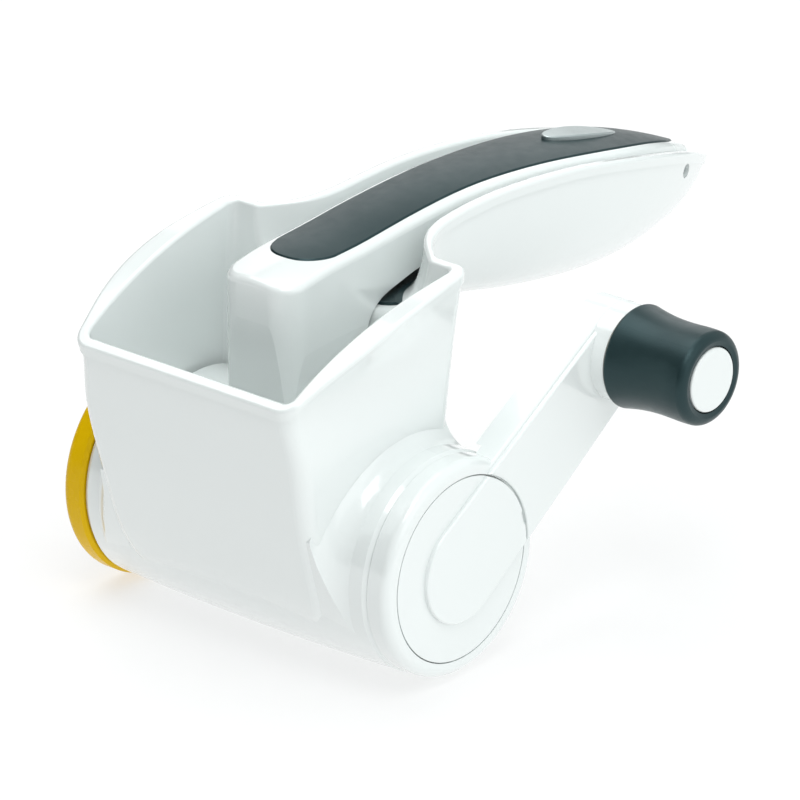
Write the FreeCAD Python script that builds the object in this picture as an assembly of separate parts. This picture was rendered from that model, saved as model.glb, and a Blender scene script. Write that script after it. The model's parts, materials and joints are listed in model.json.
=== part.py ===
import FreeCAD, Part
import math
import os

V = FreeCAD.Vector
X, Y, Z = V(1, 0, 0), V(0, 1, 0), V(0, 0, 1)

# Hand-held rotary drum grater. Everything is drawn about the drum's axis (the X axis here) and
# moved at the very end, so that the finished object's origin is the bottom centre of its box.
# X runs along the drum towards the crank, Y back along the handle, Z up. Millimetres.
AXIS_AT = V(-15.0, -59.653, 30.299)

# ---- drum, bore and bosses
BORE_R = 26.80          # barrel bore, a running fit on the drum's two plastic ends
JOURNAL_R = 26.74
BARREL_R = 30.30        # outside of the barrel at mid length
BOSS_R = 29.30          # outside of the barrel at its two ends
BOSS_X = 48.05          # half length of the barrel
SCREEN_R = 25.60        # grating drum, outside
SCREEN_T = 0.50

# ---- hopper walls: height, front y, rear y, half width at the front, half width at the rear
HOPPER = [
    (-17.0, -23.0, 14.0, 30.0, 35.0),
    (-11.0, -28.2, 14.4, 33.8, 36.0),
    (-3.0, -31.7, 14.8, 35.7, 36.7),
    (8.0, -35.2, 15.0, 36.2, 37.2),
    (22.0, -38.9, 15.2, 36.9, 37.8),
    (38.0, -42.0, 16.2, 37.3, 38.6),
    (54.0, -44.7, 17.9, 37.5, 39.3),
    (82.0, -48.6, 20.8, 38.0, 40.6),
]
WALL = 2.9
CORNER_R = 4.2

# ---- rim line seen from the side: y, z
RIM = [
    (-52.0, 46.4), (-44.3, 51.6), (-33.0, 58.2), (-24.0, 62.2), (-13.0, 66.0), (-3.0, 68.6),
    (8.0, 70.6), (19.0, 72.2), (30.0, 73.9), (42.0, 75.2), (56.0, 75.8), (72.0, 75.1),
    (90.0, 73.2), (108.0, 70.0), (126.0, 65.7), (142.0, 60.9), (155.0, 55.9), (166.0, 50.8),
    (174.0, 46.8),
]
BEAD = 0.55             # how far the rim band stands proud of the wall
BEAD_H = 3.0

# ---- lower handle, a boat-shaped trough: y, half width, keel z
HULL = [
    (9.0, 38.0, 50.4), (14.5, 34.5, 51.4), (19.0, 30.2, 51.8), (23.0, 25.6, 51.7),
    (27.5, 21.9, 51.2), (33.0, 19.7, 50.2), (41.0, 18.8, 48.4), (54.0, 18.6, 45.0),
    (70.0, 18.7, 41.3), (88.0, 18.7, 38.2), (105.0, 18.3, 36.5), (120.0, 17.1, 36.6),
    (133.0, 14.9, 38.2), (144.0, 12.0, 40.4), (153.0, 8.6, 43.4), (159.5, 5.4, 46.6),
    (164.0, 2.4, 49.4),
]
HULL_T = 2.6


# ---- press arm: y, height of its crowned top along the middle
ARM_TOP = [
    (-30.0, 64.0), (-20.0, 68.4), (-10.0, 71.2), (0.0, 72.7), (12.0, 73.6), (25.0, 74.9),
    (40.0, 76.1), (55.0, 76.7), (70.0, 76.4), (85.0, 75.4), (100.0, 73.6), (115.0, 70.9),
    (130.0, 67.0), (142.0, 62.7), (152.0, 58.4), (164.0, 52.6),
]
# ---- underside of the arm, from the knuckle forward to the rear of the press block
ARM_UNDER = [
    (143.5, 44.4), (132.0, 47.2), (118.0, 52.2), (100.0, 57.2), (80.0, 60.4), (60.0, 61.8),
    (44.0, 61.7), (32.0, 60.6), (24.0, 58.7), (18.0, 56.6),
]
# ---- half width of the arm and of the grip strip on it
ARM_PLAN = [
    (-10.3, 12.2), (20.0, 12.3), (50.0, 12.3), (80.0, 12.9), (100.0, 13.4), (113.0, 13.3),
    (124.0, 12.1), (134.0, 10.1), (144.0, 7.2), (152.0, 4.7),
]
STRIP_PLAN = [
    (3.5, 9.6), (15.0, 9.8), (40.0, 9.6), (62.0, 9.8), (82.0, 10.7), (98.0, 11.4), (112.0, 11.3),
    (123.0, 10.3), (133.0, 8.4), (142.0, 5.9),
]
STRIP_TIP = 151.6
CROWN = 2.0             # rise of the arm's top from its edge to its middle
ARM_WALL = 2.3
STRIP_T = 1.3           # depth of the grip strip's seat
COVER = (22.0, 126.0)   # underside opening of the arm, front and rear end

BADGE_Y, BADGE_L, BADGE_W = 112.0, 29.0, 8.8

# ---- press foot, a saddle that follows the drum
FOOT_IN, FOOT_OUT = 27.7, 30.8
FOOT_HALF = 33.4

# ---- crank: drawn along +Y, then turned about the drum axis to its resting angle
CRANK_ANGLE = 33.1
CRANK_R = 74.0
HUB_X0, HUB_X1 = 48.35, 54.7
PAD_X = 55.9            # outer face of the raised pad that runs from hub to knob
CAP_R = 24.5
GROOVE_R = 24.85
SHAFT_R = 10.94
SHAFT_X1 = 50.6         # end of the shaft, seated in the hub
SLEEVE_R = 11.00

# ---- knob, along the same axis direction: x, radius
KNOB = [
    (61.6, 13.72), (64.2, 13.2), (67.5, 12.72), (71.5, 12.42), (76.0, 12.42), (80.5, 12.58),
    (83.2, 12.52),
]
KNOB_X0, KNOB_X1 = 60.35, 85.4
AXLE_R, AXLE_X1 = 3.0, 81.0
WASHER_T = 0.8

# ---- grating drum and the square drive that turns it
TOOTH_ROWS, TOOTH_COLUMNS = 9, 16
TOOTH_SPAN = 58.0       # from the first row of teeth to the last
HOLE_R = 1.65
LIP_R, LIP_TOP_R, LIP_H = 2.7, 2.0, 0.85
SQUARE = 11.0

# ---- hinge pin near the tail, and the round end of the press arm about it
PIN_Y, PIN_Z = 143.5, 55.0
PIN_R = 2.0
KNUCKLE_R = 10.6
KNUCKLE = [(0, 8.2), (3, 7.6), (5, 6.9), (7, 6.1), (9, 5.0), (10, 3.7), (11, 1.6)]   # radius, half width


def spline(points, tangents=None):
    """One smooth edge through the given points."""
    curve = Part.BSplineCurve()
    if tangents:
        curve.interpolate(Points=points, InitialTangent=tangents[0], FinalTangent=tangents[1])
    else:
        curve.interpolate(points)
    return curve.toShape()


def line(a, b):
    return Part.makeLine(a, b)


def polygon_face(points):
    return Part.Face(Part.makePolygon(list(points) + [points[0]]))


def cylinder_x(radius, x0, x1, y=0.0, z=0.0):
    return Part.makeCylinder(radius, x1 - x0, V(x0, y, z), X)


def mirror_x(shape):
    return shape.mirror(V(0, 0, 0), X)


def side_prism(edges, x0, x1):
    """Closed outline in the plane x = 0, drawn out from x0 to x1."""
    face = Part.Face(Part.Wire(edges))
    face.translate(V(x0, 0, 0))
    return face.extrude(V(x1 - x0, 0, 0))


def hopper_wire(z, front, rear, half_front, half_rear, inset, corner):
    """Rounded trapezoid at height z; inset moves every side inwards."""
    f, r = front + inset, rear - inset
    a, b = half_front - inset, half_rear - inset
    c = corner
    k = c * (1 - math.sqrt(0.5))
    pts = [V(-a + c, f, z), V(a - c, f, z), V(a, f + c, z), V(b, r - c, z),
           V(b - c, r, z), V(-b + c, r, z), V(-b, r - c, z), V(-a, f + c, z)]
    mids = [V(a - k, f + k, z), V(b - k, r - k, z), V(-b + k, r - k, z), V(-a + k, f + k, z)]
    edges = []
    for i in range(4):
        p, q, s = pts[2 * i], pts[2 * i + 1], pts[(2 * i + 2) % 8]
        edges.append(line(p, q))
        edges.append(Part.Arc(q, mids[i], s).toShape())
    return Part.Wire(edges)


def hopper_solid(inset, corner, rows):
    wires = [hopper_wire(*row, inset, corner) for row in rows]
    return Part.makeLoft(wires, True, False)


def hull_wire(y, half, keel, inset, top):
    """U-shaped section of the handle across Y: near-upright sides and a round keel."""
    w = max(half - inset, 0.35)
    k = keel + inset
    depth = top - k
    shape = [(1.00, 0.0), (0.985, 0.22), (0.955, 0.44), (0.88, 0.66), (0.71, 0.85), (0.40, 0.965),
             (0.0, 1.0)]
    right = [V(w * s, y, top - depth * t) for s, t in shape]
    left = [V(-p.x, p.y, p.z) for p in reversed(right[:-1])]
    curve = spline(right + left)
    return Part.Wire([curve, line(left[-1], right[0])])


def hull_solid(inset, rows, top=84.0):
    wires = [hull_wire(y, w, k, inset, rim_z(y) + 6.0) for y, w, k in rows]
    return Part.makeLoft(wires, True, False)


def rim_z(y):
    """Height of the rim line at y, by straight steps between its points."""
    for (y0, z0), (y1, z1) in zip(RIM, RIM[1:]):
        if y <= y1:
            return z0 + (z1 - z0) * (y - y0) / (y1 - y0)
    return RIM[-1][1]


def above_rim(drop, height=60.0):
    """Everything above the rim line lowered by drop."""
    pts = [V(0, y, z - drop) for y, z in RIM]
    first, last = pts[0], pts[-1]
    a, b = V(0, last.y, 75.0 + height), V(0, first.y, 75.0 + height)
    return side_prism([spline(pts), line(last, a), line(a, b), line(b, first)], -60, 60)


# ---------------------------------------------------------------- housing
def barrel_solid():
    """Barrel with its two end bosses; the ends are slightly smaller than the middle."""
    c = 0.7
    curve = Part.Arc(V(-BOSS_X + 1.2, 0, BOSS_R), V(0, 0, BARREL_R), V(BOSS_X - 1.2, 0, BOSS_R)).toShape()
    edges = [
        line(V(-BOSS_X, 0, 0), V(-BOSS_X, 0, BOSS_R - c)),
        line(V(-BOSS_X, 0, BOSS_R - c), V(-BOSS_X + 1.2, 0, BOSS_R)),
        curve,
        line(V(BOSS_X - 1.2, 0, BOSS_R), V(BOSS_X, 0, BOSS_R - c)),
        line(V(BOSS_X, 0, BOSS_R - c), V(BOSS_X, 0, 0)),
        line(V(BOSS_X, 0, 0), V(-BOSS_X, 0, 0)),
    ]
    return Part.Face(Part.Wire(edges)).revolve(V(0, 0, 0), X, 360)


def boss_flare():
    """Hollow curve that carries each round boss out of the hopper's flat side."""
    r, x0 = 9.5, 45.2
    top = BOSS_R - 0.15 + r
    s = r * math.sqrt(0.5)
    edges = [
        Part.Arc(V(x0, 0, top - r), V(x0 - s, 0, top - s), V(x0 - r, 0, top)).toShape(),
        line(V(x0 - r, 0, top), V(33, 0, top)),
        line(V(33, 0, top), V(33, 0, 0)),
        line(V(33, 0, 0), V(x0, 0, 0)),
        line(V(x0, 0, 0), V(x0, 0, top - r)),
    ]
    ring = Part.Face(Part.Wire(edges)).revolve(V(0, 0, 0), X, 360)
    front = [V(0, row[1] + 0.7, row[0]) for row in HOPPER[1:-1]]
    rear = [V(0, row[2] - 0.7, row[0]) for row in HOPPER[5:-1]]
    a, b = V(0, -20.0, -20.0), V(0, 14.3, 24.0)
    profile = [spline([a] + front), line(front[-1], rear[-1]), spline(list(reversed(rear)) + [b]),
               line(b, V(0, 14.3, -20.0)), line(V(0, 14.3, -20.0), a)]
    one = ring.common(side_prism(profile, 0, BOSS_X))
    return one.fuse(mirror_x(one))


def round_edges(shape, radius, test):
    """Fillet every edge of the shape's one solid whose box passes the test."""
    solid = shape.Solids[0]
    edges = [e for e in solid.Edges if e.Length > 0.02 and test(e)]
    return solid.makeFillet(radius, edges)


def throat_edge(e):
    """The U-shaped line where the handle trough runs into the hopper's rear wall."""
    b = e.BoundBox
    return b.YMin > 13 and b.YMax < 22 and b.XMin < -20 and b.XMax > 20 and e.Length > 75


def grip_form(inset, hull_inset, corner, rows, throat):
    """Hopper and boat-shaped handle as one form with a rounded throat between them."""
    form = hopper_solid(inset, corner, rows).fuse(hull_solid(hull_inset, HULL))
    return round_edges(form.removeSplitter(), throat, throat_edge)


def rim_face(body):
    """The long curved face along the top of the rim."""
    return max((f for f in body.Faces if f.BoundBox.YLength > 200), key=lambda f: f.Area)


def mill_slot(length, width, x0, x1, y, z, angle):
    """Small rectangular bar across the drum axis direction, turned about X."""
    bar = Part.makeBox(x1 - x0, length, width, V(x0, y - length / 2, z - width / 2))
    bar.rotate(V(0, 0, 0), X, angle)
    return bar


def end_wall():
    """Bearing end of the barrel: ring-shaped recess round a sleeve for the drive shaft."""
    recess = cylinder_x(24.0, 44.0, 60.0).cut(cylinder_x(14.0, 44.0, 47.4))
    return [recess, cylinder_x(SLEEVE_R, 30.0, 60.0)]


def pin_holes():
    return [cylinder_x(PIN_R, -30, 30, PIN_Y, PIN_Z)]


def housing():
    outer = grip_form(0, 0, CORNER_R, HOPPER, 6.0)
    band = grip_form(-BEAD, -BEAD, CORNER_R + BEAD, HOPPER, 6.0 - BEAD).common(above_rim(BEAD_H))
    body = outer.fuse([band, barrel_solid(), boss_flare()])
    body = body.cut(above_rim(0))
    rows = [(-9.5, -28.6, 14.0, 33.9, 36.0)] + [r for r in HOPPER if r[0] > -10]
    void = grip_form(WALL, HULL_T, 2.4, rows, 3.0)
    reach = Part.makeBox(120, 200 + PIN_Y, 120, V(-60, -200, -20))
    knuckle = cylinder_x(KNUCKLE_R + 0.6, -60, 60, PIN_Y, PIN_Z)
    void = void.common(reach.fuse(knuckle))
    body = body.cut([void, cylinder_x(BORE_R, -60, 41.0)]).removeSplitter()
    rim = rim_face(body)
    body = body.Solids[0].makeFillet(1.0, [e for e in rim.Edges if e.Length > 0.02])
    return body.cut(end_wall() + pin_holes())


def handle_liner():
    """Soft dark lining in the floor of the handle trough."""
    t = 0.8
    skin = hull_solid(HULL_T + 0.02, HULL).cut(hull_solid(HULL_T + t, HULL))
    low = side_prism([line(V(0, 17.6, 30), V(0, 17.6, 57.5)),
                      spline([V(0, 17.6, 57.5), V(0, 30, 57.5), V(0, 60, 56.0), V(0, 90, 51.5),
                              V(0, 122, 47.0)]),
                      line(V(0, 122, 47.0), V(0, 122, 30)),
                      line(V(0, 122, 30), V(0, 17.6, 30))], -40, 40)
    return skin.common(low)


def hinge_pin():
    ends = cylinder_x(PIN_R, -9.9, 9.9, PIN_Y, PIN_Z)
    return ends.makeChamfer(0.4, [e for e in ends.Edges if e.BoundBox.XLength < 0.01])


# ---------------------------------------------------------------- press arm
def top_z(y):
    """Height of the arm's crowned top at y."""
    for (y0, z0), (y1, z1) in zip(ARM_TOP, ARM_TOP[1:]):
        if y <= y1:
            return z0 + (z1 - z0) * (y - y0) / (y1 - y0)
    return ARM_TOP[-1][1]


def crown_solid(raised, half=15.5):
    """Everything below the arm's crowned top surface, raised by the given amount."""
    wires = []
    for y, z in ARM_TOP:
        edge, mid = z + raised - CROWN * (half / 13.0) ** 2, z + raised
        a, b = V(-half, y, edge), V(half, y, edge)
        c, d = V(half, y, 20.0), V(-half, y, 20.0)
        arc = Part.Arc(a, V(0, y, mid), b).toShape()
        wires.append(Part.Wire([arc, line(b, c), line(c, d), line(d, a)]))
    return Part.makeLoft(wires, True, False)


def plan_prism(rows, nose, tail, grow=0.0, z0=10.0, z1=100.0):
    """Upright prism over a long symmetric outline; nose and tail close its two ends."""
    right = [V(w + grow, y, z0) for y, w in rows]
    left = [V(-p.x, p.y, p.z) for p in reversed(right)]
    edges = [spline(right)] + tail(right[-1], left[0]) + [spline(left)] + nose(left[-1], right[0])
    return Part.Face(Part.Wire(edges)).extrude(V(0, 0, z1 - z0))


def arm_nose(a, b):
    """Blunt nose with well rounded corners between points a (left) and b (right)."""
    y, r = -17.3, 7.0
    k = r * (1 - math.sqrt(0.5))
    p, q = V(a.x + r, y, a.z), V(b.x - r, y, a.z)
    return [Part.Arc(a, V(a.x + k, y + k, a.z), p).toShape(), line(p, q),
            Part.Arc(q, V(b.x - k, y + k, a.z), b).toShape()]


def arm_tail(a, b):
    return [Part.Arc(a, V(0, a.y + 3.2, a.z), b).toShape()]


def strip_nose(a, b):
    y = -5.4
    return [spline([a, V(a.x * 0.83, y + 4.4, a.z), V(a.x * 0.45, y + 0.9, a.z), V(0, y, a.z),
                    V(b.x * 0.45, y + 0.9, a.z), V(b.x * 0.83, y + 4.4, a.z), b])]


def strip_tail(a, b):
    tip = V(0, STRIP_TIP, a.z)
    return [spline([a, V(a.x * 0.52, (a.y + tip.y) / 2 + 0.6, a.z), tip]),
            spline([tip, V(b.x * 0.52, (b.y + tip.y) / 2 + 0.6, b.z), b])]


def strip_prism(grow):
    return plan_prism(STRIP_PLAN, strip_nose, strip_tail, grow)


def arm_side(inset=0.0):
    """Side outline of arm and press block as a wide prism."""
    i = inset
    r = KNUCKLE_R - i
    low = [V(0, PIN_Y, PIN_Z - r)] + [V(0, y, z + i) for y, z in ARM_UNDER[1:]]
    heel = [V(0, 13.6 - i, 52.0), V(0, 12.6 - i, 44.0), V(0, 11.9 - i, 33.0)]
    toe = [V(0, -15.2 + i, 30.0), V(0, -16.6 + i, 48.0), V(0, -17.6 + i, 63.0)]
    edges = [
        Part.Arc(V(0, PIN_Y, PIN_Z + r), V(0, PIN_Y + r, PIN_Z), low[0]).toShape(),
        spline(low + heel),
        line(heel[-1], V(0, heel[-1].y, 20)),
        line(V(0, heel[-1].y, 20), V(0, toe[0].y, 20)),
        line(V(0, toe[0].y, 20), toe[0]),
        spline(toe),
        line(toe[-1], V(0, toe[-1].y, 90)),
        line(V(0, toe[-1].y, 90), V(0, PIN_Y, 90)),
        line(V(0, PIN_Y, 90), V(0, PIN_Y, PIN_Z + r)),
    ]
    return side_prism(edges, -20, 20)


def draft_wedge(top_half, low_half):
    """Long bar whose sides lean in towards the bottom."""
    face = polygon_face([V(-top_half, -60, 80), V(top_half, -60, 80), V(low_half, -60, 25),
                         V(-low_half, -60, 25)])
    return face.extrude(V(0, 260, 0))


def y_slab(y0, y1):
    return Part.makeBox(90, y1 - y0, 90, V(-45, y0, 10))


def swing_room(inset):
    """What the arm may fill: everything in front, then the trough's own section, and behind the
    pin a lens about the pin's axis that can turn in the narrow end of the trough."""
    trough = hull_solid(HULL_T + 0.6 + inset, HULL)
    half = [V(w, PIN_Y + r, PIN_Z) for r, w in KNUCKLE]
    lens = polygon_face([V(-p.x, p.y, p.z) for p in half] + half[::-1])
    lens = lens.revolve(V(0, PIN_Y, PIN_Z), X, 360)
    middle = trough.common(y_slab(PIN_Y - 50, PIN_Y))
    rear = trough.common(lens).common(y_slab(PIN_Y, PIN_Y + 20))
    return y_slab(-60, PIN_Y - 50).fuse([middle, rear])


def arm_form(inset, raised):
    """Arm and press block as one solid, every wall moved in by inset."""
    i = inset
    body = arm_side(i).common(plan_prism(ARM_PLAN, arm_nose, arm_tail, -i))
    body = body.common(draft_wedge(14.6 - i, 10.2 - i))
    body = body.common(crown_solid(raised))
    return body.cut(cylinder_x(FOOT_OUT + i, -40, 40))


def cover_zone(grow):
    """Upright bar over the opening in the arm's underside."""
    y0, y1 = COVER
    zone = plan_prism(ARM_PLAN, arm_nose, arm_tail, grow - ARM_WALL)
    zone = zone.common(draft_wedge(14.6 - ARM_WALL + grow, 10.2 - ARM_WALL + grow))
    return zone.common(Part.makeBox(60, y1 - y0 + 2 * grow, 22, V(-30, y0 - grow, 43)))


def top_loop(e):
    """Edges round the crowned top of the arm."""
    b = e.BoundBox
    high = b.ZMin > (68.0 if b.YMax < 0 else 57.0)
    return high and not isinstance(e.Curve, Part.Line)


def arm_shell():
    body = arm_form(0, 0).removeSplitter()
    body = round_edges(body, 2.2, top_loop).common(swing_room(0))
    hollow = arm_form(ARM_WALL, -STRIP_T - 2.0).common(swing_room(ARM_WALL))
    hollow = hollow.common(Part.makeBox(60, COVER[1] + 40, 80, V(-30, -40, 20)))
    seat = strip_prism(0.08).cut(crown_solid(-STRIP_T))
    bore = cylinder_x(PIN_R + 0.06, -30, 30, PIN_Y, PIN_Z)
    return body.cut([hollow, cover_zone(0.0), seat, bore])


def arm_under_cover():
    """Curved plate that closes the arm's underside, flush with it."""
    y0, y1 = COVER
    line_low = [V(0, y, z) for y, z in ARM_UNDER]
    line_top = [p + V(0, 0, 2.0) for p in line_low]
    band = side_prism([spline(line_low), line(line_low[-1], line_top[-1]),
                       spline(list(reversed(line_top))), line(line_top[0], line_low[0])], -20, 20)
    return band.common(cover_zone(-0.08))


def arm_grip_strip():
    body = strip_prism(0.0).common(crown_solid(0.35)).cut(crown_solid(-STRIP_T))
    top = max(body.Faces, key=lambda f: f.CenterOfMass.z * (f.Area > 500))
    edges = [e for e in top.Edges if e.Length > 0.1]
    return body.Solids[0].makeChamfer(0.4, edges).cut(badge_seat())


def badge_oval(grow, z0, z1):
    oval = Part.Ellipse(V(0, BADGE_Y, z0), BADGE_L / 2 + grow, BADGE_W / 2 + grow).toShape()
    oval.rotate(V(0, BADGE_Y, z0), Z, 90)
    return Part.Face(Part.Wire([oval])).extrude(V(0, 0, z1 - z0))


def badge_seat():
    return badge_oval(0.06, 50, 90).cut(crown_solid(-0.5))


def arm_badge():
    """Blank oval tab, proud of the strip at its front end and flush at its rear end."""
    y0, y1 = BADGE_Y - BADGE_L / 2 - 1, BADGE_Y + BADGE_L / 2 + 1
    top = [V(0, y0, top_z(y0) + 1.5), V(0, BADGE_Y, top_z(BADGE_Y) + 1.45),
           V(0, y1, top_z(y1) + 0.55)]
    under = side_prism([spline(top), line(top[-1], V(0, y1, 50)), line(V(0, y1, 50), V(0, y0, 50)),
                        line(V(0, y0, 50), top[0])], -20, 20)
    body = badge_oval(0, 50, 90).common(under).cut(crown_solid(-0.5))
    high = max(body.Faces, key=lambda f: f.CenterOfMass.z * (f.Area > 60))
    return body.Solids[0].makeFillet(0.35, high.Edges)


def press_foot():
    """Saddle plate under the press block, with low ribs on the face towards the drum."""
    body = cylinder_x(FOOT_OUT, -FOOT_HALF, FOOT_HALF).cut(cylinder_x(FOOT_IN, -60, 60))
    c, y0, y1 = 4.0, -20.5, 11.6
    k = c * (1 - math.sqrt(0.5))
    a = FOOT_HALF
    pts = [V(-a + c, y0, 0), V(a - c, y0, 0), V(a, y0 + c, 0), V(a, y1 - c, 0),
           V(a - c, y1, 0), V(-a + c, y1, 0), V(-a, y1 - c, 0), V(-a, y0 + c, 0)]
    mids = [V(a - k, y0 + k, 0), V(a - k, y1 - k, 0), V(-a + k, y1 - k, 0), V(-a + k, y0 + k, 0)]
    edges = []
    for i in range(4):
        edges.append(line(pts[2 * i], pts[2 * i + 1]))
        edges.append(Part.Arc(pts[2 * i + 1], mids[i], pts[(2 * i + 2) % 8]).toShape())
    body = body.common(Part.Face(Part.Wire(edges)).extrude(V(0, 0, 60)))
    ribs = []
    for angle in range(-32, 24, 8):
        rib = Part.makeCylinder(0.55, 2 * a - 10, V(-a + 5, 0, FOOT_IN + 0.15), X)
        rib.rotate(V(0, 0, 0), X, -angle)
        ribs.append(rib)
    return body.fuse(ribs).removeSplitter()


# ---------------------------------------------------------------- drum
def hexagon_at(radius, x, z):
    """Flat hexagon in the tube's tangent plane, one corner pointing along the turning direction."""
    corners = [math.radians(60 * i + 30) for i in range(6)]
    return Part.makePolygon([V(x + radius * math.cos(a), radius * math.sin(a), z)
                             for a in corners + corners[:1]])


def cutting_lip(x):
    """Half of a six-sided cone standing on the tube, open over the hole."""
    low, high = hexagon_at(LIP_R, x, SCREEN_R - 0.45), hexagon_at(LIP_TOP_R, x, SCREEN_R + LIP_H)
    cone = Part.makeLoft([low, high], True, True)
    return cone.common(Part.makeBox(8, 4, 4, V(x - 4, 0, SCREEN_R - 1)))


def drum_screen():
    """Thin steel tube with rows of holes, each with a raised cutting lip on one side."""
    x0, x1 = -46.9, 38.4
    tube = cylinder_x(SCREEN_R, x0, x1).cut(cylinder_x(SCREEN_R - SCREEN_T, x0 - 1, x1 + 1))
    lips, holes = [], []
    step = 360.0 / TOOTH_COLUMNS
    for row in range(TOOTH_ROWS):
        x = TOOTH_SPAN * (row / (TOOTH_ROWS - 1) - 0.5)
        hole = Part.Face(hexagon_at(HOLE_R, x, SCREEN_R - 2)).extrude(V(0, 0, 4))
        lip = cutting_lip(x)
        for i in range(TOOTH_COLUMNS):
            angle = (i + 0.5 * (row % 2)) * step
            for item, group in ((lip, lips), (hole, holes)):
                placed = item.copy()
                placed.rotate(V(0, 0, 0), X, angle)
                group.append(placed)
    return tube.fuse(lips).cut(Part.makeCompound(holes))


def drum_open_ring():
    """Yellow ring round the drum's open end: running journal, flange and funnel mouth."""
    profile = [
        V(-36.0, 0, SCREEN_R + 0.02), V(-36.0, 0, JOURNAL_R - 0.3), V(-36.4, 0, JOURNAL_R),
        V(-48.35, 0, JOURNAL_R), V(-48.35, 0, 29.2), V(-49.2, 0, 30.0), V(-52.8, 0, 30.0),
    ]
    rim = Part.Arc(V(-52.8, 0, 30.0), V(-54.7, 0, 29.3), V(-55.5, 0, 28.0)).toShape()
    lip = Part.Arc(V(-55.5, 0, 26.6), V(-54.5, 0, 25.0), V(-52.0, 0, 24.3)).toShape()
    inner = [V(-52.0, 0, 24.3), V(-46.95, 0, 24.3), V(-46.95, 0, SCREEN_R + 0.02), profile[0]]
    edges = [line(p, q) for p, q in zip(profile, profile[1:])] + [rim]
    edges += [line(V(-55.5, 0, 28.0), V(-55.5, 0, 26.6)), lip]
    edges += [line(p, q) for p, q in zip(inner, inner[1:])]
    return Part.Face(Part.Wire(edges)).revolve(V(0, 0, 0), X, 360)


def square_bar(side, x0, x1):
    return Part.makeBox(x1 - x0, side, side, V(x0, -side / 2, -side / 2))


def drum_drive_end():
    """Closed end of the drum: running journal, dished web, ribs and a square socket."""
    body = cylinder_x(JOURNAL_R, 34.0, 40.7).cut(cylinder_x(SCREEN_R - 0.9, 33.0, 38.6))
    body = body.cut(cylinder_x(SCREEN_R + 0.01, 33.0, 38.42).cut(cylinder_x(SCREEN_R - 0.51, 33, 39)))
    hub = cylinder_x(10.0, 30.5, 40.7)
    ribs = []
    for i in range(6):
        rib = Part.makeBox(4.5, 1.8, 16.5, V(34.6, -0.9, 8.6))
        rib.rotate(V(0, 0, 0), X, 60 * i + 30)
        ribs.append(rib)
    return body.fuse([hub] + ribs).cut(square_bar(SQUARE + 0.1, 30, 42)).removeSplitter()


# ---------------------------------------------------------------- crank
def turned(shape):
    """Turn a crank piece drawn along +Y to the crank's resting angle."""
    done = shape.copy()
    done.rotate(V(0, 0, 0), X, CRANK_ANGLE)
    return done


def paddle(r0, r1, x0, x1):
    """Plate over two circles, one on the drum axis and one on the knob axis."""
    lean = math.asin((r0 - r1) / CRANK_R)
    n, m = math.sin(lean), math.cos(lean)
    a, b = V(x0, r0 * n, r0 * m), V(x0, CRANK_R + r1 * n, r1 * m)
    c, d = V(x0, b.y, -b.z), V(x0, a.y, -a.z)
    edges = [line(a, b), Part.Arc(b, V(x0, CRANK_R + r1, 0), c).toShape(), line(c, d),
             Part.Arc(d, V(x0, -r0, 0), a).toShape()]
    return Part.Face(Part.Wire(edges)).extrude(V(x1 - x0, 0, 0))


def crank_body():
    """Hub disc and arm in one piece, with a round seat for the cap in the hub's face."""
    disc = cylinder_x(28.9, HUB_X0, HUB_X1)
    rim = [e for e in disc.Edges if e.BoundBox.XMin > HUB_X1 - 0.01]
    disc = disc.makeFillet(2.6, rim)
    arm = paddle(15.2, 13.1, 46.4, HUB_X1).cut(cylinder_x(31.2, 40, HUB_X0))
    outer = [e for e in arm.Edges if e.BoundBox.XMin > HUB_X1 - 0.01]
    arm = arm.makeFillet(0.8, outer)
    pad = paddle(14.3, 12.2, HUB_X1 - 0.5, PAD_X).cut(cylinder_x(GROOVE_R + 0.25, 40, 60))
    lip = [e for e in pad.Edges if e.BoundBox.XMin > PAD_X - 0.01]
    pad = pad.makeFillet(0.5, lip)
    collar = cylinder_x(12.9, 53.0, KNOB_X0 - 0.35, CRANK_R)
    body = disc.fuse([arm, pad, collar]).removeSplitter()
    pocket = cylinder_x(26.3, HUB_X0 - 1, SHAFT_X1).cut(cylinder_x(14.0, 40, 60))
    hollow = paddle(12.8, 10.9, 46.0, 52.4).cut(cylinder_x(33.2, 40, 60))
    post = cylinder_x(7.0, 46.9, 56.0, CRANK_R)
    spine = Part.makeBox(6.0, CRANK_R - 33, 2.0, V(46.9, 33, -1.0))
    hollow = hollow.cut(post.fuse(spine))
    seat = cylinder_x(GROOVE_R, 52.6, 60.0)
    socket = cylinder_x(SHAFT_R, 40, SHAFT_X1)
    axle = cylinder_x(AXLE_R, 40, 70, CRANK_R)
    return turned(body.cut([pocket, hollow, seat, socket, axle]))


def crank_cap():
    """Round cover in the hub's face; the raised pad of the arm carries on across it."""
    disc = cylinder_x(CAP_R, 52.65, HUB_X1)
    pad = paddle(14.3, 12.2, HUB_X1 - 0.5, PAD_X).common(cylinder_x(CAP_R, 50, 60))
    lip = [e for e in pad.Edges if e.BoundBox.XMin > PAD_X - 0.01]
    pad = pad.makeFillet(0.5, lip)
    notch = mill_slot(1.7, 4.0, 53.6, 60, CAP_R, 0.0, -16.5)
    return turned(disc.fuse(pad).removeSplitter().cut(notch))


def drive_shaft():
    """Shaft from the crank hub through the barrel's end wall into the drum's socket."""
    return cylinder_x(SHAFT_R, 40.95, SHAFT_X1).fuse(square_bar(SQUARE, 31.0, 42.0))


# ---------------------------------------------------------------- knob
def knob_axle():
    """Steel stud fixed in the arm; the knob turns on it."""
    stud = cylinder_x(AXLE_R, 47.4, AXLE_X1, CRANK_R)
    head = cylinder_x(5.2, 45.9, 46.9, CRANK_R).fuse(cylinder_x(AXLE_R, 46.5, 48.0, CRANK_R))
    return turned(stud.fuse(head).removeSplitter())


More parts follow.
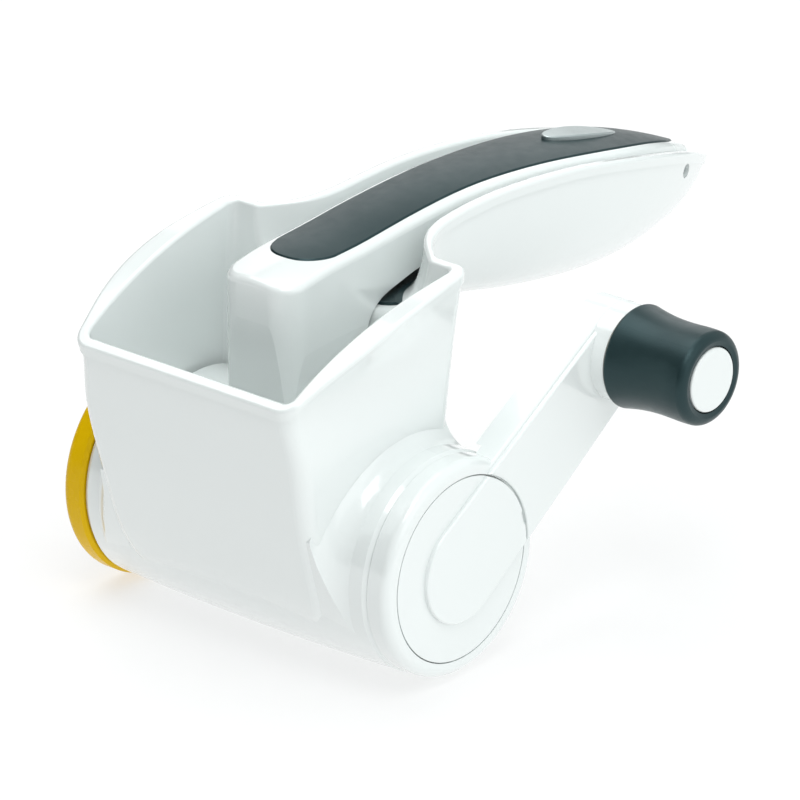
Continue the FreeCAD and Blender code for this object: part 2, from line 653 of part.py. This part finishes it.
def knob_washer():
    """Washer on the end of the stud; it holds the knob on."""
    return turned(cylinder_x(5.0, AXLE_X1, AXLE_X1 + WASHER_T, CRANK_R))


def knob_screw():
    """Slotted screw head that clamps the washer."""
    x0 = AXLE_X1 + WASHER_T
    head = cylinder_x(3.2, x0, x0 + 1.2, CRANK_R)
    slot = Part.makeBox(0.7, 0.8, 7.0, V(x0 + 0.7, CRANK_R - 0.4, -3.5))
    return turned(head.cut(slot))


def knob_core():
    """Hard inner sleeve of the knob."""
    body = cylinder_x(9.0, KNOB_X0 + 0.5, 80.6, CRANK_R)
    body = body.fuse(cylinder_x(12.6, KNOB_X0, KNOB_X0 + 1.0, CRANK_R))
    return turned(body.cut(cylinder_x(AXLE_R + 0.06, 50, 90, CRANK_R)).removeSplitter())


def knob_grip():
    """Waisted soft grip moulded round the core, with a round seat in its end."""
    side = [V(x, CRANK_R, r) for x, r in KNOB]
    x0, x1 = KNOB_X0 + 0.05, KNOB_X1
    base = V(x0 + 0.45, CRANK_R, 13.6)
    edges = [
        line(V(x0, CRANK_R, 0), V(x0, CRANK_R, 13.1)),
        Part.Arc(V(x0, CRANK_R, 13.1), V(x0 + 0.3, CRANK_R, 13.55), side[0]).toShape(),
        spline(side),
        Part.Arc(side[-1], V(x1 - 0.55, CRANK_R, 11.6), V(x1, CRANK_R, 10.2)).toShape(),
        line(V(x1, CRANK_R, 10.2), V(x1 - 0.3, CRANK_R, 9.0)),
        line(V(x1 - 0.3, CRANK_R, 9.0), V(x1 - 0.3, CRANK_R, 0)),
        line(V(x1 - 0.3, CRANK_R, 0), V(x0, CRANK_R, 0)),
    ]
    body = Part.Face(Part.Wire(edges)).revolve(V(0, CRANK_R, 0), X, 360)
    cuts = [cylinder_x(9.0, x0 - 1, 80.6, CRANK_R), cylinder_x(12.6, x0 - 1, KNOB_X0 + 1.0, CRANK_R)]
    cuts += [cylinder_x(7.0, 80.0, 90, CRANK_R), cylinder_x(8.95, 83.9, 90, CRANK_R)]
    return turned(body.cut(cuts))


def knob_cap():
    """Plain round cap in the knob's end."""
    disc = cylinder_x(8.55, 83.9, KNOB_X1 + 0.1, CRANK_R)
    rim = [e for e in disc.Edges if e.BoundBox.XMin > KNOB_X1]
    return turned(disc.makeFillet(0.5, rim))


def export(name, shape):
    """Write one node, moved so that the object's box stands on the origin."""
    moved = shape.copy()
    moved.translate(AXIS_AT)
    moved.exportStep("parts/" + name + ".step")


NODES = [
    ("housing", housing), ("handle_liner", handle_liner), ("hinge_pin", hinge_pin),
    ("arm_shell", arm_shell), ("arm_under_cover", arm_under_cover),
    ("arm_grip_strip", arm_grip_strip), ("arm_badge", arm_badge), ("press_foot", press_foot),
    ("drum_screen", drum_screen), ("drum_open_ring", drum_open_ring),
    ("drum_drive_end", drum_drive_end), ("drive_shaft", drive_shaft), ("crank_body", crank_body),
    ("crank_cap", crank_cap), ("knob_axle", knob_axle), ("knob_washer", knob_washer),
    ("knob_screw", knob_screw), ("knob_core", knob_core), ("knob_grip", knob_grip), ("knob_cap", knob_cap),
]

os.makedirs("parts", exist_ok=True)
for name, make in NODES:
    export(name, make())
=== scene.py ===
import json
import math

import bpy
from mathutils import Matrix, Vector


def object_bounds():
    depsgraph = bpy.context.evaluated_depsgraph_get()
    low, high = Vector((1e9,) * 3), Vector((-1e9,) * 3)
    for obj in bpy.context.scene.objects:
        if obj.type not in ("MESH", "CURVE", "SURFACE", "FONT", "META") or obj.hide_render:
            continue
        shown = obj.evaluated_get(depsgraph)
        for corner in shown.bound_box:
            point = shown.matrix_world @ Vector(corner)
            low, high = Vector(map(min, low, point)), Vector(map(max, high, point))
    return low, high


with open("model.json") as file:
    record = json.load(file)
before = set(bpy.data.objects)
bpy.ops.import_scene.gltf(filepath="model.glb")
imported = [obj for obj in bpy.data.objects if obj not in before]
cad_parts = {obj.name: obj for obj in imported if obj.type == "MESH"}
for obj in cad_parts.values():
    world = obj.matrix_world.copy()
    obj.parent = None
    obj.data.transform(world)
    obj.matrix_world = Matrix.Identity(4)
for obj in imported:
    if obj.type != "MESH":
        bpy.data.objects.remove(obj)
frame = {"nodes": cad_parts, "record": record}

cad_lo, cad_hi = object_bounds()
centre = (cad_lo + cad_hi) / 2
nodes = frame["nodes"]

# camera: azimuth and elevation in degrees, distance and aim offset in metres, lens in millimetres
AZIMUTH, ELEVATION = 40.8, 22.9
DISTANCE = 1.7578
AIM = Vector((-0.0167, -0.0179, -0.0060))
LENS, SENSOR = 303.9, 36.0

# lights: name, place relative to the object's centre, side in metres, power in watts
SOFTBOXES = [
    ("key", (1.0, -0.12, 0.55), 0.8, 1.3),
    ("top", (-0.4, 0.0, 1.1), 0.9, 5.2),
    ("front", (0.35, -0.45, 1.0), 0.5, 3.0),
    ("back", (-0.95, 1.1, 0.62), 1.0, 3.3),
]
SURROUND_TOWARDS = (0.6, 0.25, 0.75)
SURROUND_COLOR = (0.90, 0.95, 0.95, 1)
SURROUND_DIM, SURROUND_BRIGHT = 0.06, 0.94
SURROUND_START, SURROUND_END = -0.1, 0.8

FLOOR_HALF = 6.0
FLOOR_GAP = 0.0002
FLOOR_GLOW = 0.62


# ------------------------------------------------------------------ materials
class Shader:
    """Short way to build one node material on the object's own coordinates."""

    def __init__(self, name, **sockets):
        self.mat = bpy.data.materials.new(name)
        self.mat.use_nodes = True
        self.tree = self.mat.node_tree
        self.bsdf = self.tree.nodes["Principled BSDF"]
        self.coords = self.add("ShaderNodeTexCoord").outputs["Object"]
        for key, value in sockets.items():
            self.bsdf.inputs[key.replace("_", " ")].default_value = value

    def add(self, kind, **props):
        node = self.tree.nodes.new(kind)
        for key, value in props.items():
            setattr(node, key, value)
        return node

    def link(self, a, b):
        self.tree.links.new(a, b)

    def stretched(self, scale):
        node = self.add("ShaderNodeMapping")
        node.inputs["Scale"].default_value = scale
        self.link(self.coords, node.inputs["Vector"])
        return node.outputs["Vector"]

    def noise(self, scale, detail=3.0, rough=0.5, vector=None):
        node = self.add("ShaderNodeTexNoise")
        node.inputs["Scale"].default_value = scale
        node.inputs["Detail"].default_value = detail
        node.inputs["Roughness"].default_value = rough
        self.link(vector or self.coords, node.inputs["Vector"])
        return node.outputs["Fac"]

    def spread(self, value, low, high, start=0.3, end=0.7):
        """Map a noise value from start..end onto low..high."""
        node = self.add("ShaderNodeMapRange")
        node.inputs["From Min"].default_value = start
        node.inputs["From Max"].default_value = end
        node.inputs["To Min"].default_value = low
        node.inputs["To Max"].default_value = high
        self.link(value, node.inputs["Value"])
        return node.outputs["Result"]

    def tone(self, value, dark, light):
        """Colour the surface between two tones by a noise value."""
        node = self.add("ShaderNodeMix", data_type="RGBA")
        node.inputs["A"].default_value = (*dark, 1)
        node.inputs["B"].default_value = (*light, 1)
        self.link(self.spread(value, 0, 1), node.inputs["Factor"])
        self.link(node.outputs["Result"], self.bsdf.inputs["Base Color"])

    def roughness(self, value, low, high):
        self.link(self.spread(value, low, high), self.bsdf.inputs["Roughness"])

    def bump(self, height, strength, distance):
        node = self.add("ShaderNodeBump")
        node.inputs["Strength"].default_value = strength
        node.inputs["Distance"].default_value = distance
        self.link(height, node.inputs["Height"])
        self.link(node.outputs["Normal"], self.bsdf.inputs["Normal"])


def moulded_white():
    s = Shader("white_plastic", Coat_Weight=1.0, Coat_Roughness=0.06, IOR=1.52)
    s.tone(s.noise(9, 2), (0.855, 0.893, 0.885), (0.865, 0.903, 0.895))
    s.roughness(s.noise(25, 2), 0.20, 0.24)
    s.bump(s.noise(700, 2), 0.03, 0.0001)
    return s.mat


def soft_grip():
    s = Shader("dark_rubber", IOR=1.5, Specular_Tint=(0.62, 0.94, 1.0, 1))
    s.tone(s.noise(45, 4), (0.009, 0.021, 0.023), (0.013, 0.027, 0.029))
    s.roughness(s.noise(300, 4, 0.6), 0.30, 0.38)
    s.bump(s.noise(3500, 3, 0.6), 0.18, 0.0002)
    return s.mat


def amber_plastic():
    s = Shader("yellow_plastic", Specular_IOR_Level=0.15, IOR=1.45)
    s.tone(s.noise(30, 3), (0.78, 0.48, 0.001), (0.85, 0.54, 0.002))
    s.roughness(s.noise(200, 4), 0.22, 0.32)
    s.bump(s.noise(1200, 2), 0.04, 0.0002)
    return s.mat


def brushed_steel():
    s = Shader("steel", Metallic=1.0, Anisotropic=0.4)
    lines = s.noise(40, 6, 0.7, s.stretched((60, 1, 1)))
    s.tone(lines, (0.60, 0.61, 0.62), (0.78, 0.79, 0.80))
    s.roughness(lines, 0.22, 0.38)
    s.bump(lines, 0.12, 0.0002)
    return s.mat


def satin_silver():
    s = Shader("satin_silver", Metallic=0.85)
    s.tone(s.noise(120, 3), (0.50, 0.56, 0.56), (0.58, 0.64, 0.64))
    s.roughness(s.noise(900, 4, 0.6), 0.28, 0.38)
    s.bump(s.noise(4000, 2), 0.05, 0.0001)
    return s.mat


def pale_floor():
    s = Shader("pale_floor", Emission_Color=(1.0, 1.0, 1.0, 1), Emission_Strength=FLOOR_GLOW)
    s.tone(s.noise(3, 3), (0.35, 0.35, 0.35), (0.37, 0.37, 0.37))
    s.roughness(s.noise(60, 3), 0.75, 0.9)
    return s.mat


FINISH = {
    "white_plastic": moulded_white(),
    "dark_rubber": soft_grip(),
    "yellow_plastic": amber_plastic(),
    "steel": brushed_steel(),
    "satin_silver": satin_silver(),
}

for part in frame["record"]["subparts"]:
    mesh = nodes[part["node"]].data
    mesh.materials.clear()
    mesh.materials.append(FINISH[part["material_slot"]])


# ------------------------------------------------------------------ stage
def place(name, data, location, back):
    """Add a light or camera at a location, looking against the direction back."""
    obj = bpy.data.objects.new(name, data)
    obj.location = location
    obj.rotation_mode = "QUATERNION"
    obj.rotation_quaternion = (-back).to_track_quat("-Z", "Y")
    bpy.context.collection.objects.link(obj)
    return obj


def floor():
    """Plain pale sheet just under the object, running far out of view."""
    h, z = FLOOR_HALF, cad_lo.z - FLOOR_GAP
    mesh = bpy.data.meshes.new("floor")
    mesh.from_pydata([(-h, -h, z), (h, -h, z), (h, h, z), (-h, h, z)], [], [(0, 1, 2, 3)])
    mesh.materials.append(pale_floor())
    obj = bpy.data.objects.new("floor", mesh)
    bpy.context.collection.objects.link(obj)


def surround():
    """Studio surround, brightest in one direction and dim on the far side."""
    world = bpy.data.worlds.new("studio")
    world.use_nodes = True
    tree = world.node_tree
    back = tree.nodes["Background"]
    back.inputs["Color"].default_value = SURROUND_COLOR
    coords = tree.nodes.new("ShaderNodeTexCoord")
    facing = tree.nodes.new("ShaderNodeVectorMath")
    facing.operation = "DOT_PRODUCT"
    facing.inputs[1].default_value = Vector(SURROUND_TOWARDS).normalized()
    ramp = tree.nodes.new("ShaderNodeMapRange")
    ramp.inputs["From Min"].default_value = SURROUND_START
    ramp.inputs["From Max"].default_value = SURROUND_END
    ramp.inputs["To Min"].default_value = SURROUND_DIM
    ramp.inputs["To Max"].default_value = SURROUND_BRIGHT
    tree.links.new(coords.outputs["Generated"], facing.inputs[0])
    tree.links.new(facing.outputs["Value"], ramp.inputs["Value"])
    tree.links.new(ramp.outputs["Result"], back.inputs["Strength"])
    bpy.context.scene.world = world


def softbox(name, offset, size, power):
    """Square area light that looks at the object's centre."""
    lamp = bpy.data.lights.new(name, "AREA")
    lamp.shape = "SQUARE"
    lamp.size = size
    lamp.energy = power
    place(name, lamp, centre + Vector(offset), Vector(offset))


def camera():
    a, e = math.radians(AZIMUTH), math.radians(ELEVATION)
    back = Vector((math.sin(a) * math.cos(e), -math.cos(a) * math.cos(e), math.sin(e)))
    lens = bpy.data.cameras.new("camera")
    lens.lens = LENS
    lens.sensor_width = SENSOR
    bpy.context.scene.camera = place("camera", lens, centre + AIM + back * DISTANCE, back)


floor()
surround()
for box in SOFTBOXES:
    softbox(*box)
camera()
bpy.context.scene.view_settings.view_transform = "Standard"
